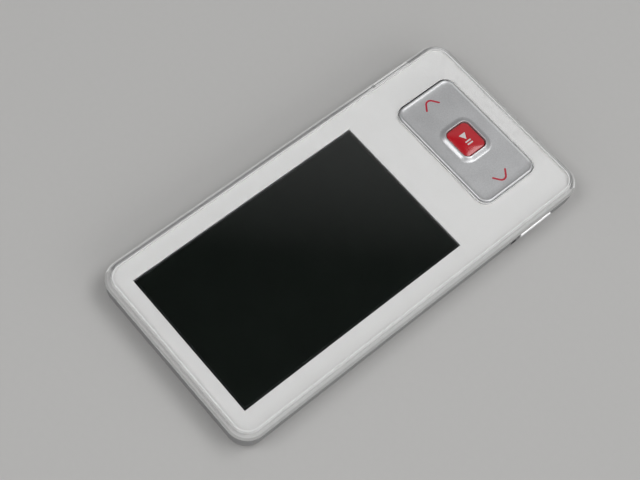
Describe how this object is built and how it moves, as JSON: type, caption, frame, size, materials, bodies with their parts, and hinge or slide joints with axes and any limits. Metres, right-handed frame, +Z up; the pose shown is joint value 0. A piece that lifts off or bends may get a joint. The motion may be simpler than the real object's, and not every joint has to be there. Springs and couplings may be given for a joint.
{
  "type": "digital audio player",
  "caption": "Flat pocket audio player with a clear front cover over a white face, a large screen, a silver rocker keypad with a red centre button, and chrome side buttons.",
  "frame": {"origin": "middle of the case on the surface that its back lies on", "axes": "+Z up out of the screen, +Y along the case towards the keypad end, +X towards the power button's side"},
  "size_m": [0.0542, 0.1076, 0.0089],
  "materials": {
    "clear_acrylic": "polished clear plastic",
    "white_plastic": "white moulding",
    "satin_silver": "satin silver",
    "grey_paint": "satin metallic grey",
    "chrome": "polished",
    "red_gloss": "glossy",
    "screen_glass": "black, polished",
    "steel": "plated",
    "circuit_board": "green solder mask",
    "chip_plastic": "moulded black",
    "silicone": "soft",
    "battery_foil": "foil pouch",
    "amber_film": "flexible film",
    "red_insulation": "wire insulation",
    "black_insulation": "wire insulation"
  },
  "bodies": {
    "case": {"front_cover": "clear_acrylic", "front_frame": "white_plastic", "rear_cover": "grey_paint", "side_screw_left": "steel", "side_screw_right": "steel", "keypad_mat": "silicone", "dome_up": "steel", "dome_select": "steel", "dome_down": "steel", "key_board": "circuit_board", "key_board_screw_1": "steel", "key_board_screw_2": "steel", "power_switch": "steel", "volume_up_switch": "steel", "volume_down_switch": "steel", "lcd_panel": "screen_glass", "lcd_gasket": "silicone", "lcd_backlight": "white_plastic", "lcd_tray": "steel", "lcd_flex": "amber_film", "battery_cell": "battery_foil", "battery_guard_board": "circuit_board", "battery_lead_red": "red_insulation", "battery_lead_black": "black_insulation", "main_board": "circuit_board", "board_screw_1": "steel", "board_screw_2": "steel", "board_screw_3": "steel", "board_screw_4": "steel", "lcd_connector": "white_plastic", "battery_connector": "white_plastic", "key_connector": "white_plastic", "processor": "chip_plastic", "memory_chip_1": "chip_plastic", "memory_chip_2": "chip_plastic", "power_chip": "chip_plastic", "audio_codec": "chip_plastic", "crystal": "steel", "power_coil": "chip_plastic", "earphone_jack": "chip_plastic", "usb_socket": "steel"},
    "keypad": {"keypad_plate": "satin_silver"},
    "select": {"centre_button": "red_gloss"},
    "power": {"power_button": "chrome"},
    "volume": {"volume_rocker": "chrome"}
  },
  "joints": [
    {"name": "keypad_rock", "type": "hinge", "parent": "case", "child": "keypad", "pos_m": [0, 0.0382, 0.00563], "axis": [0, 1, 0], "range_deg": [-1.05, 1.05], "stiffness_Nm_per_rad": 0.6},
    {"name": "select_press", "type": "slide", "parent": "case", "child": "select", "axis": [0, 0, -1], "range_m": [0, 0.0003], "stiffness_N_per_m": 800},
    {"name": "power_press", "type": "slide", "parent": "case", "child": "power", "axis": [-1, 0, 0], "range_m": [0, 0.0003], "stiffness_N_per_m": 800},
    {"name": "volume_rock", "type": "hinge", "parent": "case", "child": "volume", "pos_m": [-0.0245, 0.037, 0.0054], "axis": [0, 0, 1], "range_deg": [-2.2, 2.2], "stiffness_Nm_per_rad": 0.1}
  ]
}
